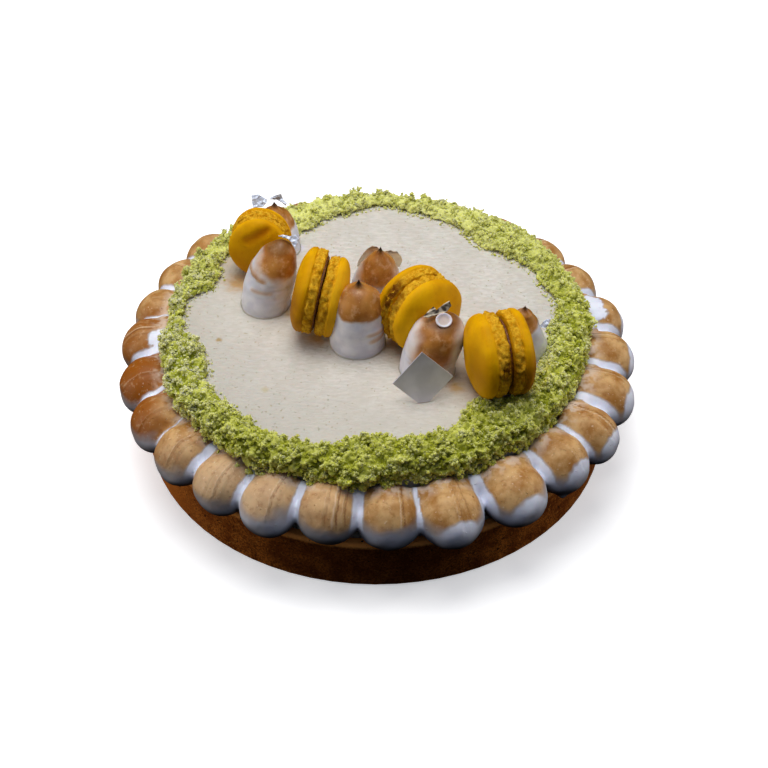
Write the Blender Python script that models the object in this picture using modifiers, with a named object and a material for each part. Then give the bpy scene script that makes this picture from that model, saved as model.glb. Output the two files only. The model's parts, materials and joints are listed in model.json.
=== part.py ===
"""Lemon tart: a straight-sided pastry case filled level with its rim, a thick white disc of cream on it,
a ring of torched meringue domes round the rim, a ring of green sponge crumbs on the disc's edge, and a row
of meringue kisses and macarons across the top with silver leaf and a small square tag.

Metres, +Z up, origin at the middle of the case's underside. The front of the tart faces -Y.
"""

import math
import random

import bmesh
import bpy
from mathutils import Matrix, Vector
from mathutils.geometry import normal

MM = 0.001
GAP = 0.32  # clearance between touching pieces, mm

# Pastry case
CASE_R, CASE_H = 110.0, 26.8
WALL, FLOOR = 5.0, 5.0
ROUND_STEPS = 72

# Filling and disc, one body of cream
CREAM_FILL_Z = 26.0
DISC_R, DISC_TOP = 95.3, 60.0
DISC_EDGE = 4.0

# Meringue domes round the rim. Each sits on the case's rim at its own angle
DOME_Z = 39.6
DOME_UP, DOME_DOWN = 12.75, 12.3
DOME_INNER_R, DOME_OUTER_R = 96.1, 121.4
DOME_ANGLES = (
    12.6, 27.6, 41.4, 55.2, 69.1, 82.9, 96.8, 110.6, 124.5, 138.3, 151.1, 164.9, 177.3,
    192.3, 206.3, 219.1, 232.8, 245.6, 259.3, 273.2, 287.1, 303.1, 318.1, 330.4, 344.5, 358.6,
)
DOME_SIDES = 10
# Share of the way from the inner end (-1) to the outer end (1), and the half-width there
DOME_PROFILE = (
    (-1.0, 0.0), (-1.0, 0.76), (-0.88, 0.96), (-0.4, 1.0), (0.1, 1.0),
    (0.5, 0.87), (0.84, 0.54), (1.0, 0.0),
)

# Crumb ring: inner and outer edge by angle in degrees, and how thick it lies
CRUMB_INNER = (
    (3, 82.5), (10, 85.3), (20, 83), (28, 84), (41, 79), (48, 76), (59, 82), (68, 84.5), (79, 87), (89, 91),
    (101, 84.5), (108, 83), (113, 78), (118, 74.5), (124, 87.5), (150, 87), (157, 81), (163, 80), (170, 89), (184, 89),
    (192, 82), (200, 81), (211, 87), (227, 87), (244, 88.5), (254, 87), (261, 82), (270, 77),
    (277, 80), (287, 79.5), (297, 80), (304, 70), (311, 70), (318, 79), (327, 81), (337, 82), (351, 82), (357, 80.2),
)
CRUMB_OUTER = (
    (1, 100.4), (14, 100.4), (29, 100), (38, 103), (45, 103), (60, 101), (120, 101), (144, 100.5), (151, 101.5),
    (160, 98.4), (167, 98.6), (181, 98.2), (191, 101), (207, 102.5), (218, 102.8), (227, 103.5), (239, 103.5),
    (248, 102), (253, 100.6), (263, 103.5), (273, 101), (279, 98.3), (284, 98.8), (291, 101), (299, 98.8),
    (314, 99.4), (331, 98.2), (350, 98.3),
)
CRUMB_THICK = 4.4
CRUMB_HEM_Z = 52.7
CRUMB_STEPS = 72
GRAINS, GRAIN_SIZES = 70, (2.0, 3.2)

# Kisses: base centre, tip, widest radius, how full the shoulders are, and whether it was drawn off to a tip
KISSES = (
    ((-49.1, 57.0), (-49.4, 57.3, 86.8), 11.8, 2.2, True),
    ((-52.0, 13.2), (-43.5, 14.5, 95.6), 11.8, 3.9, False),
    ((-8.6, -14.5), (-7.9, -15.5, 97.0), 12.8, 4.6, True),
    ((-0.8, 14.0), (1.8, 11.5, 95.4), 12.2, 2.3, True),
    ((22.8, -33.0), (29.8, -32.0, 89.8), 12.6, 7.0, False),
    ((65.9, -18.3), (66.0, -22.0, 88.5), 12.4, 1.15, True),
)
KISS_HEIGHTS = (0.0, 0.12, 0.32, 0.51, 0.67, 0.8, 0.9)
KISS_SIDES = 14

# Macarons standing on edge: middle, heading and rise of the axis in degrees, radius, thickness, and width for
# the height
MACARONS = (
    ((-55.2, 38.0), -95.0, 0.0, 16.6, 19.5, 0.87),
    ((-25.5, -4.2), 172.0, 9.5, 19.8, 24.0, 1.0),
    ((19.1, -13.0), -55.0, 0.5, 18.5, 26.0, 1.0),
    ((53.4, -44.9), 193.5, 0.0, 19.1, 28.0, 1.0),
)
SHELL_PROFILE = (  # share of half the thickness from the seam, share of the radius
    (0.1, 0.89), (0.15, 0.97), (0.36, 0.965), (0.44, 1.0), (0.62, 0.95), (0.8, 0.8), (0.93, 0.54),
)
FILLING_R = 0.86
MACARON_SIDES = 18

# Square tag standing on a corner, its foot in the cream
TAG_FOOT, TAG_SIDE, TAG_SUNK, TAG_THICK = (21.0, -55.3), 19.1, 2.7, 0.6
TAG_LEAN, TAG_TURN = 15.0, 11.0

# Silver leaf: the outline of each scrap
LEAF_THICK = 0.5
LEAVES = (
    ((-60.1, 59.4, 89.0), (-56.9, 59.7, 89.4), (-54.9, 58.9, 88.5), (-52.6, 58.1, 87.5), (-53.2, 56.8, 86.1),
     (-54.5, 55.8, 84.9), (-57.5, 55.5, 84.6), (-59.2, 55.3, 84.4), (-59.9, 57.1, 86.4)),
    ((-52.1, 59.3, 86.8), (-50.2, 60.3, 87.9), (-47.4, 60.9, 88.6), (-46.0, 61.0, 88.7), (-45.0, 59.2, 86.7),
     (-43.3, 58.1, 85.5), (-43.6, 57.1, 84.4), (-45.9, 58.2, 85.6), (-48.3, 59.2, 86.7)),
    ((-45.1, 16.0, 97.1), (-42.6, 16.6, 97.5), (-39.9, 16.1, 97.0), (-36.8, 16.6, 97.5), (-35.4, 15.0, 95.8),
     (-36.4, 13.6, 94.2), (-37.6, 11.9, 94.0), (-39.1, 14.0, 94.9), (-40.7, 15.2, 96.2), (-42.9, 15.5, 96.6)),
    ((-9.4, 29.3, 69.6), (-8.6, 27.6, 74.8), (-6.4, 25.8, 80.3), (-4.2, 24.6, 84.0), (-2.1, 24.0, 85.9),
     (0.3, 24.2, 85.4), (1.4, 24.9, 83.1), (-1.8, 28.1, 73.3), (-7.5, 30.3, 66.5)),
    ((3.4, 25.9, 80.2), (3.8, 25.3, 82.0), (6.4, 25.2, 82.3), (9.8, 25.6, 81.1), (11.4, 26.6, 78.0),
     (12.1, 27.5, 75.0), (10.9, 29.3, 69.6), (6.3, 29.1, 70.2)),
    ((20.4, -32.9, 90.1), (22.1, -31.5, 91.6), (24.9, -29.8, 93.6), (26.3, -30.8, 92.4), (29.1, -29.2, 94.2),
     (31.9, -28.1, 95.5), (32.6, -29.0, 94.4), (30.6, -30.6, 92.6), (27.8, -31.8, 91.6), (25.2, -32.0, 91.4),
     (22.6, -32.7, 90.5)),
    ((73.5, -21.5, 76.0), (74.7, -20.2, 77.5), (76.3, -19.6, 78.2), (78.0, -19.4, 78.4), (77.3, -20.8, 76.8),
     (76.3, -22.1, 75.4), (74.5, -22.2, 75.2)),
)


def material(name, colour, roughness):
    """A plain surface in one colour."""
    made = bpy.data.materials.new(name)
    made.use_nodes = True
    surface = made.node_tree.nodes["Principled BSDF"]
    surface.inputs["Base Color"].default_value = (*colour, 1.0)
    surface.inputs["Roughness"].default_value = roughness
    return made


def place(name, data, surface):
    """An object of its own for one piece, in the tart's collection."""
    data.materials.append(surface)
    made = bpy.data.objects.new(name, data)
    tart.objects.link(made)
    return made


def body(name, mesh, surface):
    """A piece from a closed bmesh, its faces turned outwards."""
    bmesh.ops.recalc_face_normals(mesh, faces=mesh.faces)
    data = bpy.data.meshes.new(name)
    mesh.to_mesh(data)
    mesh.free()
    return place(name, data, surface)


def skin(mesh, rings, closed_round=False):
    """Faces between neighbouring rings of points. A ring of one point is a tip, and a closed round joins
    the last ring to the first."""
    made = [[mesh.verts.new(Vector(p) * MM) for p in ring] for ring in rings]
    pairs = list(zip(made, made[1:])) + ([(made[-1], made[0])] if closed_round else [])
    for a, b in pairs:
        for k in range(max(len(a), len(b))):
            corners = [
                a[k % len(a)], a[(k + 1) % len(a)], b[(k + 1) % len(b)], b[k % len(b)],
            ]
            kept = [c for i, c in enumerate(corners) if c not in corners[:i]]
            if len(kept) > 2:
                mesh.faces.new(kept)


def turned(name, profile, steps, surface, frame=None):
    """A body turned about its own Z axis, from (radius, height) pairs that run down its outer side."""
    data = bpy.data.meshes.new(name)
    data.from_pydata(
        [(radius * MM, 0, height * MM) for radius, height in profile],
        [(k, k + 1) for k in range(len(profile) - 1)], [],
    )
    made = place(name, data, surface)
    made.matrix_world = frame or Matrix()
    screw = made.modifiers.new("Screw", "SCREW")
    screw.steps = screw.render_steps = steps
    screw.use_merge_vertices, screw.merge_threshold = True, 0.00001
    return made


def macaron_frame(number):
    """The macaron's middle, with its axis as Z, at the height where its lower rim meets the cream."""
    middle, heading, rise, radius, thickness, oval = MACARONS[number]
    a, e = math.radians(heading), math.radians(rise)
    height = DISC_TOP + GAP + radius * math.cos(e) + 0.25 * thickness * abs(math.sin(e))
    axis = Vector((math.cos(e) * math.cos(a), math.cos(e) * math.sin(a), math.sin(e)))
    turn = axis.to_track_quat("Z", "Y").to_matrix().to_4x4()
    return Matrix.Translation(Vector((*middle, height)) * MM) @ turn @ Matrix.Diagonal((oval, 1, 1, 1))


def boolean(target, operation, others, solver="EXACT"):
    """Applies one Boolean on a collection of objects to target, and removes them."""
    group = bpy.data.collections.new(target.name + "_tools")
    for other in others:
        group.objects.link(other)
    modifier = target.modifiers.new("Boolean", "BOOLEAN")
    modifier.operation, modifier.solver = operation, solver
    modifier.operand_type, modifier.collection = "COLLECTION", group
    bpy.context.view_layer.objects.active = target
    bpy.ops.object.modifier_apply(modifier=modifier.name)
    for other in others:
        bpy.data.objects.remove(other, do_unlink=True)
    bpy.data.collections.remove(group)


def drop_scraps(target):
    """Keeps only the largest connected body of a mesh."""
    mesh = bmesh.new()
    mesh.from_mesh(target.data)
    left, islands = set(mesh.verts), []
    while left:
        island, front = set(), [left.pop()]
        while front:
            vert = front.pop()
            island.add(vert)
            for edge in vert.link_edges:
                other = edge.other_vert(vert)
                if other in left:
                    left.discard(other)
                    front.append(other)
        islands.append(island)
    islands.sort(key=len)
    for island in islands[:-1]:
        bmesh.ops.delete(mesh, geom=list(island), context="VERTS")
    mesh.to_mesh(target.data)
    mesh.free()


def spread(table, angle):
    """The value at angle of a table of (degrees, value) pairs, read round the circle."""
    angle %= 360
    before = max((p for p in table if p[0] <= angle), default=(table[-1][0] - 360, table[-1][1]))
    after = min((p for p in table if p[0] > angle), default=(table[0][0] + 360, table[0][1]))
    share = (angle - before[0]) / (after[0] - before[0])
    share = (1 - math.cos(math.pi * share)) / 2
    return before[1] + (after[1] - before[1]) * share


def dome(number):
    """One meringue dome: round at its outer end, squarer at its inner end, up to its neighbours."""
    angle = DOME_ANGLES[number]
    ahead = (DOME_ANGLES[(number + 1) % len(DOME_ANGLES)] - angle) % 360
    behind = (angle - DOME_ANGLES[number - 1]) % 360
    middle = (DOME_INNER_R + DOME_OUTER_R) / 2
    reach = (DOME_OUTER_R - DOME_INNER_R) / 2
    turn = Matrix.Rotation(math.radians(angle), 4, "Z")
    rings = []
    for share, width in DOME_PROFILE:
        radius = middle + reach * share
        if width == 0:
            rings.append([turn @ Vector((radius, 0, DOME_Z - (2 if share < 0 else 3)))])
            continue
        ring = []
        for k in range(DOME_SIDES):
            a = math.tau * k / DOME_SIDES
            side = ahead if math.cos(a) > 0 else behind
            room = min(radius * math.tan(math.radians(side / 2)) - GAP / 2, 14.4)
            up = (DOME_UP if math.sin(a) > 0 else DOME_DOWN) / math.cos(math.pi / DOME_SIDES / 1.2)
            drop = 3 * max(share, 0) ** 2
            ring.append(turn @ Vector((
                radius, room * width * math.cos(a), DOME_Z - drop * width + up * width * math.sin(a),
            )))
        rings.append(ring)
    mesh = bmesh.new()
    skin(mesh, rings)
    return mesh


def crumb_ring(rng, blocked):
    """The band of crumbs on the disc's edge: a lumpy core with the larger crumbs fused on."""
    rings = []
    for k in range(CRUMB_STEPS):
        angle = 360 * k / CRUMB_STEPS
        inner, outer = spread(CRUMB_INNER, angle), spread(CRUMB_OUTER, angle)
        top = DISC_TOP + CRUMB_THICK
        section = (
            (inner, DISC_TOP - 1),
            (inner + 0.6, DISC_TOP + 2.2 + rng.uniform(-0.4, 0.4)),
            (inner + 3.0 + rng.uniform(-0.5, 0.5), top - 0.6 + rng.uniform(-0.6, 0.5)),
            ((inner + outer) / 2 + 2 + rng.uniform(-1, 1), top + rng.uniform(-0.5, 0.7)),
            (outer - 2.6 + rng.uniform(-0.5, 0.5), top - 1.2 + rng.uniform(-0.6, 0.4)),
            (outer - 0.2 + rng.uniform(-0.4, 0.4), DISC_TOP - 1.4),
            (outer - 0.7, CRUMB_HEM_Z),
            (DISC_R - 3, CRUMB_HEM_Z),
            (DISC_R - 3, DISC_TOP - 2),
        )
        a = math.radians(angle)
        rings.append([(r * math.cos(a), r * math.sin(a), z) for r, z in section])
    mesh = bmesh.new()
    skin(mesh, rings, closed_round=True)
    core = body("crumb_ring", mesh, crumb)
    boolean(core, "DIFFERENCE", blocked(1.2))
    drop_scraps(core)
    grains = []
    stops = [macaron_frame(i).inverted() for i in range(len(MACARONS))]
    while len(grains) < GRAINS:
        angle = (len(grains) * 137.508 + rng.uniform(-5, 5)) % 360
        inner, outer = spread(CRUMB_INNER, angle), spread(CRUMB_OUTER, angle)
        share = rng.random()
        size = rng.uniform(*GRAIN_SIZES)
        if share < 0.74:
            radius = inner + 1.4 + (outer - 2.2 - inner) * share / 0.74
            height = DISC_TOP + CRUMB_THICK - 0.2
            height -= 1.3 * (radius < inner + 3.2) + 1.5 * (radius > outer - 3)
        else:
            radius, height = outer - 0.5, rng.uniform(CRUMB_HEM_Z + 3.6, DISC_TOP + 2)
        a = math.radians(angle)
        spot = Vector((radius * math.cos(a), radius * math.sin(a), height))
        near = any(
            (stop @ (spot * MM)).xy.length < (MACARONS[i][3] + size + 1) * MM
            and abs((stop @ (spot * MM)).z) < (MACARONS[i][4] / 2 + size + 1) * MM
            for i, stop in enumerate(stops)
        )
        near = near or any((spot.xy - Vector(base)).length < r + size + 1.5 for base, _, r, _, _ in KISSES)
        if near:
            radius = outer - 0.5
            spot = Vector((radius * math.cos(a), radius * math.sin(a), DISC_TOP + 0.5))
        grain = bmesh.new()
        bmesh.ops.create_icosphere(grain, subdivisions=1, radius=size * MM)
        turn = Matrix.Rotation(rng.uniform(0, 6), 4, "X") @ Matrix.Rotation(rng.uniform(0, 6), 4, "Y")
        squash = Matrix.Diagonal((1.0, rng.uniform(0.75, 1.0), rng.uniform(0.6, 0.9), 1.0))
        bmesh.ops.transform(
            grain, matrix=Matrix.Translation(spot * MM) @ turn @ squash, verts=grain.verts
        )
        grains.append(body("grain", grain, crumb))
    boolean(core, "UNION", grains, "MANIFOLD")
    reach, edge = DISC_R + GAP, DISC_EDGE
    disc = (
        (0, DISC_TOP + GAP), (reach - edge, DISC_TOP + GAP), (reach - 1.2, DISC_TOP - 0.9),
        (reach, DISC_TOP - edge + 0.2), (reach, CRUMB_HEM_Z - 9), (0, CRUMB_HEM_Z - 9),
    )
    boolean(core, "DIFFERENCE", [turned("tool", disc, ROUND_STEPS, crumb)])
    drop_scraps(core)


def macaron_tools(grow):
    """The macarons' outer forms, this much larger, for pressing into softer pieces."""
    made = []
    for number, (_, _, _, radius, thickness, _) in enumerate(MACARONS):
        half, r = thickness / 2 + grow, radius + grow
        outer = [(r * share, half * along) for along, share in reversed(SHELL_PROFILE[3:])]
        inner = [(radius, -height) for radius, height in reversed(outer)]
        profile = [(0, half)] + outer + inner + [(0, -half)]
        made.append(turned("tool", profile, MACARON_SIDES, meringue, macaron_frame(number)))
    return made


def kiss_width(height, full, drawn_off):
    """Share of the widest radius at a share of the height."""
    body = max(1 - (height / (0.9 if drawn_off else 1.0)) ** full, 0) ** 0.62
    tip = 0.24 * (max(1 - height, 0) / 0.15) ** 1.25 if drawn_off and height > 0.6 else 0
    return max(body, tip) * (0.94 if height == 0 else 1)


def kiss(number):
    """A drop of meringue with a leaning top, blunt or drawn off to a tip, pressed in where a macaron
    touches it."""
    base, tip, radius, full, drawn_off = KISSES[number]
    foot = DISC_TOP + GAP
    rise = tip[2] - foot
    side = [(radius * kiss_width(share, full, drawn_off), rise * share) for share in reversed(KISS_HEIGHTS)]
    made = turned(f"kiss_{number + 1}", [(0, rise)] + side + [(0, 0)], KISS_SIDES, meringue)
    bpy.context.view_layer.objects.active = made
    bpy.ops.object.modifier_apply(modifier="Screw")
    for vert in made.data.vertices:
        lean = max(vert.co.z / (rise * MM), 0) ** 1.3
        shift = ((tip[0] - base[0]) * lean + base[0], (tip[1] - base[1]) * lean + base[1], foot)
        vert.co += Vector(shift) * MM
    boolean(made, "DIFFERENCE", macaron_tools(GAP))


def macaron(number):
    """Two shells with a ruffled foot, and the filling between them."""
    _, _, _, radius, thickness, _ = MACARONS[number]
    half = thickness / 2
    profile = (
        [(0, half)] + [(radius * share, half * along) for along, share in reversed(SHELL_PROFILE)]
        + [(0, half * SHELL_PROFILE[0][0])]
    )
    for turn, letter in ((0, "a"), (math.pi, "b")):
        frame = macaron_frame(number) @ Matrix.Rotation(turn, 4, "X")
        turned(f"macaron_{number + 1}_shell_{letter}", profile, MACARON_SIDES, shell, frame)
    depth = half * SHELL_PROFILE[0][0] - GAP
    profile = ((0, depth), (radius * FILLING_R, depth), (radius * FILLING_R, -depth), (0, -depth))
    turned(f"macaron_{number + 1}_filling", profile, MACARON_SIDES, filling, macaron_frame(number))


def tag():
    """A thin square card on one corner, cut off level where it enters the cream."""
    half = TAG_SIDE * math.sqrt(0.5)
    outline = (
        (-TAG_SUNK, 0.0), (TAG_SUNK, 0.0), (half, half - TAG_SUNK), (0.0, 2 * half - TAG_SUNK),
        (-half, half - TAG_SUNK),
    )
    card = bpy.data.curves.new("tag", "CURVE")
    card.dimensions, card.fill_mode, card.extrude = "2D", "BOTH", TAG_THICK / 2 * MM
    edge = card.splines.new("POLY")
    edge.points.add(len(outline) - 1)
    for point, (x, y) in zip(edge.points, outline):
        point.co = (x * MM, y * MM, 0, 1)
    edge.use_cyclic_u = True
    made = place("tag", card, silver)
    made.location = Vector((*TAG_FOOT, DISC_TOP + GAP + 0.1)) * MM
    made.rotation_euler = (math.radians(90 - TAG_LEAN), 0, math.radians(TAG_TURN))


def leaf(number):
    """A scrap of leaf: a film of its own outline, folded to and fro, thin but solid."""
    outline = [Vector(p) for p in LEAVES[number]]
    face = normal(outline)
    mesh = bmesh.new()
    mesh.faces.new([mesh.verts.new((p + face * (0.3 if k % 2 else -0.3)) * MM) for k, p in enumerate(outline)])
    bmesh.ops.triangulate(mesh, faces=mesh.faces)
    data = bpy.data.meshes.new(f"leaf_{number + 1}")
    mesh.to_mesh(data)
    mesh.free()
    made = place(f"leaf_{number + 1}", data, silver)
    solidify = made.modifiers.new("Solidify", "SOLIDIFY")
    solidify.thickness, solidify.offset = LEAF_THICK * MM, 0


for old in list(bpy.data.objects):
    bpy.data.objects.remove(old, do_unlink=True)

tart = bpy.data.collections.new("Lemon tart")
bpy.context.scene.collection.children.link(tart)

pastry = material("Pastry", (0.42, 0.17, 0.06), 0.75)
cream = material("Cream", (0.78, 0.72, 0.62), 0.5)
meringue = material("Meringue", (0.72, 0.55, 0.42), 0.5)
crumb = material("Crumb", (0.42, 0.48, 0.1), 0.9)
shell = material("Macaron shell", (0.75, 0.36, 0.01), 0.5)
filling = material("Macaron filling", (0.14, 0.04, 0.01), 0.5)
silver = material("Silver", (0.55, 0.55, 0.6), 0.3)

turned(
    "case",
    (
        (0, FLOOR), (CASE_R - WALL, FLOOR), (CASE_R - WALL, CASE_H - 1.2), (CASE_R - WALL + 0.9, CASE_H),
        (CASE_R - 0.9, CASE_H), (CASE_R, CASE_H - 1.4), (CASE_R - 0.5, 1.2), (CASE_R - 1.6, 0), (0, 0),
    ),
    ROUND_STEPS, pastry,
)
turned(
    "cream",
    (
        (0, DISC_TOP), (DISC_R - DISC_EDGE, DISC_TOP), (DISC_R - 1.3, DISC_TOP - 1.2),
        (DISC_R, DISC_TOP - DISC_EDGE), (DISC_R, CREAM_FILL_Z), (CASE_R - WALL - 1.2, CREAM_FILL_Z),
        (CASE_R - WALL - GAP, CREAM_FILL_Z - 0.9), (CASE_R - WALL - GAP, FLOOR + GAP), (0, FLOOR + GAP),
    ),
    ROUND_STEPS, cream,
)
for index in range(len(DOME_ANGLES)):
    body(f"meringue_{index + 1:02d}", dome(index), meringue)
for index in range(len(KISSES)):
    kiss(index)
for index in range(len(MACARONS)):
    macaron(index)
crumb_ring(random.Random(7), macaron_tools)
tag()
for index in range(len(LEAVES)):
    leaf(index)
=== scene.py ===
import json
import math

import bpy
import numpy as np
from mathutils import Matrix, Vector, noise

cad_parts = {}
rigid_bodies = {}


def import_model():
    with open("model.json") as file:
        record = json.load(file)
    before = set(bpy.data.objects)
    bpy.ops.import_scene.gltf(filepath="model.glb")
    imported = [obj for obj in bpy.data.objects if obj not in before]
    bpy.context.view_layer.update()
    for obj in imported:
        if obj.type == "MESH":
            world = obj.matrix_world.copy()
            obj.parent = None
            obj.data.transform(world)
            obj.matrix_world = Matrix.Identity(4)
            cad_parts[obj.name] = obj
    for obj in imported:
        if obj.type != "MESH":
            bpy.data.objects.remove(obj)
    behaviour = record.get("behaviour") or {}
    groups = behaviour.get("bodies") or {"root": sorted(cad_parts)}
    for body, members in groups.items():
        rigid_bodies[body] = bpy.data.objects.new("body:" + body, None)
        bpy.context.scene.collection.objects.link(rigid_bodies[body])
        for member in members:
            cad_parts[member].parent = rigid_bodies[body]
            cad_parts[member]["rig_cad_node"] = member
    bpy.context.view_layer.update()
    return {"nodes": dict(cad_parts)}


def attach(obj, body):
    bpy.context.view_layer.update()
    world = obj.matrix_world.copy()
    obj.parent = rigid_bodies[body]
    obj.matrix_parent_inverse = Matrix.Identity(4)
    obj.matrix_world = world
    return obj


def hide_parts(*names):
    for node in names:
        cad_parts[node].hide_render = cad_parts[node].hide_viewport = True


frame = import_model()
bpy.ops.object.select_all(action="DESELECT")
MM = 0.001

# --- Pastry case ---------------------------------------------------------------------------------
# A straight ring of sweet pastry with a flat floor, blind baked in a tart ring until brown and dry.
# The skin is fine-grained, mottled from tan to deep brown, with pits where butter has boiled out.


def paint(red, green, blue):
    """A colour given in screen values, as the linear colour that a material takes."""
    linear = [((c / 255 + 0.055) / 1.055) ** 2.4 if c > 10 else c / 255 / 12.92 for c in (red, green, blue)]
    return (*linear, 1.0)


class Tone:
    """A number on its way through a material. Sums on it add the Math nodes."""

    def __init__(self, look, socket):
        self.look, self.socket = look, socket

    def math(self, operation, *terms):
        return self.look.node("Math", {"operation": operation}, dict(enumerate(terms)))

    def __add__(self, other):
        return self.math("ADD", self, other)

    def __sub__(self, other):
        return self.math("SUBTRACT", self, other)

    def __rsub__(self, other):
        return self.math("SUBTRACT", other, self)

    def __mul__(self, other):
        return self.math("MULTIPLY", self, other)

    __radd__, __rmul__ = __add__, __mul__

    def between(self, low, high):
        """0 at low and 1 at high, eased at both ends. With low above high it runs the other way."""
        ends = {"Value": self, "From Min": low, "From Max": high}
        return self.look.node("MapRange", {"interpolation_type": "SMOOTHSTEP"}, ends)


class Look:
    """A material in the making: a Principled surface, and the nodes that feed it."""

    def __init__(self, name, **fixed):
        self.material = bpy.data.materials.new(name)
        self.material.use_nodes = True
        self.tree = self.material.node_tree
        self.surface = self.tree.nodes["Principled BSDF"]
        for socket, value in fixed.items():
            self.surface.inputs[socket.replace("_", " ")].default_value = value
        self.place = self.node("TexCoord", output="Object")

    def node(self, kind, settings=None, inputs=None, output=0):
        made = self.tree.nodes.new("ShaderNode" + kind)
        for name, value in (settings or {}).items():
            setattr(made, name, value)
        for name, value in (inputs or {}).items():
            self.feed(made.inputs[name], value)
        return Tone(self, made.outputs[output])

    def feed(self, socket, value):
        if isinstance(value, Tone):
            self.tree.links.new(value.socket, socket)
        else:
            socket.default_value = value

    def grain(self, size, detail=3.0, rough=0.5, where=None, seed=0.0):
        """Noise with lumps of this size in mm."""
        inputs = {"Vector": where or self.place, "W": seed, "Scale": 1 / (size * MM), "Detail": detail,
                  "Roughness": rough}
        return self.node("TexNoise", {"noise_dimensions": "4D"}, inputs)

    def mix(self, share, first, second):
        return self.node("Mix", {"data_type": "RGBA"}, {0: share, 6: first, 7: second}, output=2)

    def coat(self, colour, *layers):
        """Lays layers over a colour. Each is how much of it shows, and its colour in screen values."""
        if isinstance(colour, tuple):
            colour = paint(*colour)
        for share, over in layers:
            colour = self.mix(share, colour, paint(*over))
        return colour

    def near(self, x, y, z):
        """Distance in mm from a point."""
        return self.node("VectorMath", {"operation": "DISTANCE"},
                         {0: self.place, 1: (x * MM, y * MM, z * MM)}, output=1) * (1 / MM)

    def axis(self, letter):
        """Place in mm along X, Y or Z."""
        return self.node("SeparateXYZ", {}, {"Vector": self.place}, output=letter) * (1 / MM)

    def attribute(self, name):
        return self.node("Attribute", {"attribute_name": name}, output=2)

    def finish(self, colour, roughness, height, depth):
        """Feeds the surface its colour, roughness and relief, the relief this many mm deep."""
        self.feed(self.surface.inputs["Base Color"], colour)
        self.feed(self.surface.inputs["Roughness"], roughness)
        bump = self.node("Bump", {}, {"Height": height, "Distance": depth * MM, "Strength": 1.0})
        self.feed(self.surface.inputs["Normal"], bump)
        return self.material


def wear(piece, material, *nodes):
    """Gives a piece its one material, lets it ride on the tart, and hides the CAD parts that it stands for."""
    piece.data.materials.clear()
    piece.data.materials.append(material)
    if "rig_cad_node" not in piece:
        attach(piece, "root")
    if nodes:
        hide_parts(*nodes)


CASE_TOP = 26.8

look = Look("baked pastry", Specular_IOR_Level=0.08)
coarse, fine = look.grain(9), look.grain(0.9, 5, 0.65)
across, ahead, height = (look.axis(letter) for letter in "XYZ")
pits = look.grain(2.2, 1, 0.4, seed=9).between(0.3, 0.24)
crust = look.coat(
    (142, 72, 20),
    (coarse.between(0.35, 0.65), (196, 114, 42)),
    (fine.between(0.6, 0.38) * 0.85, (78, 34, 6)),
    (look.grain(1.6, 2, 0.5, seed=4).between(0.6, 0.7) * 0.75, (206, 136, 60)),
    # Painted light on its left, painted shade darkest at the front, and a painted highlight on the lip
    ((across + coarse * 12).between(-60, -108) * 0.7, (232, 134, 50)),
    ((ahead + coarse * 12).between(-84, -106) * 0.7, (74, 34, 6)),
    ((height + fine * 2).between(CASE_TOP - 2.2, CASE_TOP), (255, 168, 84)),
    (pits, (52, 22, 4)),
)
wear(frame["nodes"]["case"], look.finish(crust, 0.75, fine * 0.6 + coarse * 0.2 - pits * 0.6, 0.55))

# --- Cream ---------------------------------------------------------------------------------------
# Lemon cream that fills the case to the rim, and a thick set disc of ivory cream on it with soft edges.
# Its skin is dull and faintly wrinkled, with specks of zest and a few spots where syrup has soaked in, some partly
# painted warm reflection and shade by the toppings.

DISC_TOP = 60.0
# Spots of syrup and zest, those by the toppings partly painted warm reflection and shade: place and size in mm, colour,
# and how much of that colour
SPOTS = (
    (-72, -13.7, 3.0, (172, 144, 84), 0.9), (-49.1, -47.7, 4.2, (190, 174, 128), 0.7),
    (77, 15.6, 4.0, (212, 206, 186), 0.6), (-28, -12, 12, (194, 148, 66), 0.8),
    (-39.5, 6.5, 9, (200, 166, 100), 0.7), (-66, 28, 15, (200, 156, 90), 0.85),
    (7, -14, 12, (192, 150, 72), 0.7), (36, -45, 9, (202, 164, 96), 0.8),
    (54, -56, 14, (196, 156, 84), 0.7), (-37.6, 56, 7, (228, 224, 232), 0.8),
)

look = Look("set cream", Specular_IOR_Level=0.45, Subsurface_Weight=0.12, Subsurface_Scale=0.004)
stretched = look.node("Mapping", {}, {"Vector": look.place, "Rotation": (0, 0, 0.35), "Scale": (0.55, 1.5, 1)})
ripple, cloud = look.grain(2.4, 4, 0.6, where=stretched), look.grain(16, 4, 0.6)
across, ahead, away = look.axis("X"), look.axis("Y"), look.near(14, 20, DISC_TOP)
row = across * 0.6 + ahead * 0.8 + cloud * 9
speck = look.grain(1.2, 1, 0.4, seed=5).between(0.68, 0.74)
skin = look.coat(
    (209, 203, 193),
    (cloud.between(0.32, 0.68), (222, 217, 208)),
    (ripple.between(0.6, 0.42) * 0.5, (194, 187, 173)),
    # Painted warm reflection and shade from the toppings along their row, painted shade darker away from the middle,
    # and specks of zest
    (row.between(-20, -4) * row.between(18, 6) * 0.4, (204, 172, 122)),
    ((away + cloud * 30).between(55, 130) * 0.6, (188, 182, 169)),
    (speck * 0.8, (184, 172, 138)),
)
# Syrup spots, and by the toppings painted warm reflection and shade
for x, y, size, colour, share in SPOTS:
    spot = look.near(x, y, DISC_TOP) + look.grain(1.5 + size * 0.2, 2) * (0.7 * size)
    skin = look.coat(skin, (spot.between(size, size * 0.4) * share, colour))
wear(frame["nodes"]["cream"], look.finish(skin, 0.42 + ripple * 0.2, ripple * 0.8 + cloud * 0.3 - speck * 0.3, 0.8))

# --- Meringue ring -------------------------------------------------------------------------------
# Twenty-six domes of soft meringue piped side by side on the case's rim, from the inside out, so that
# each is blunt inside and round outside. They run together, and a torch has browned their tops.

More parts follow.
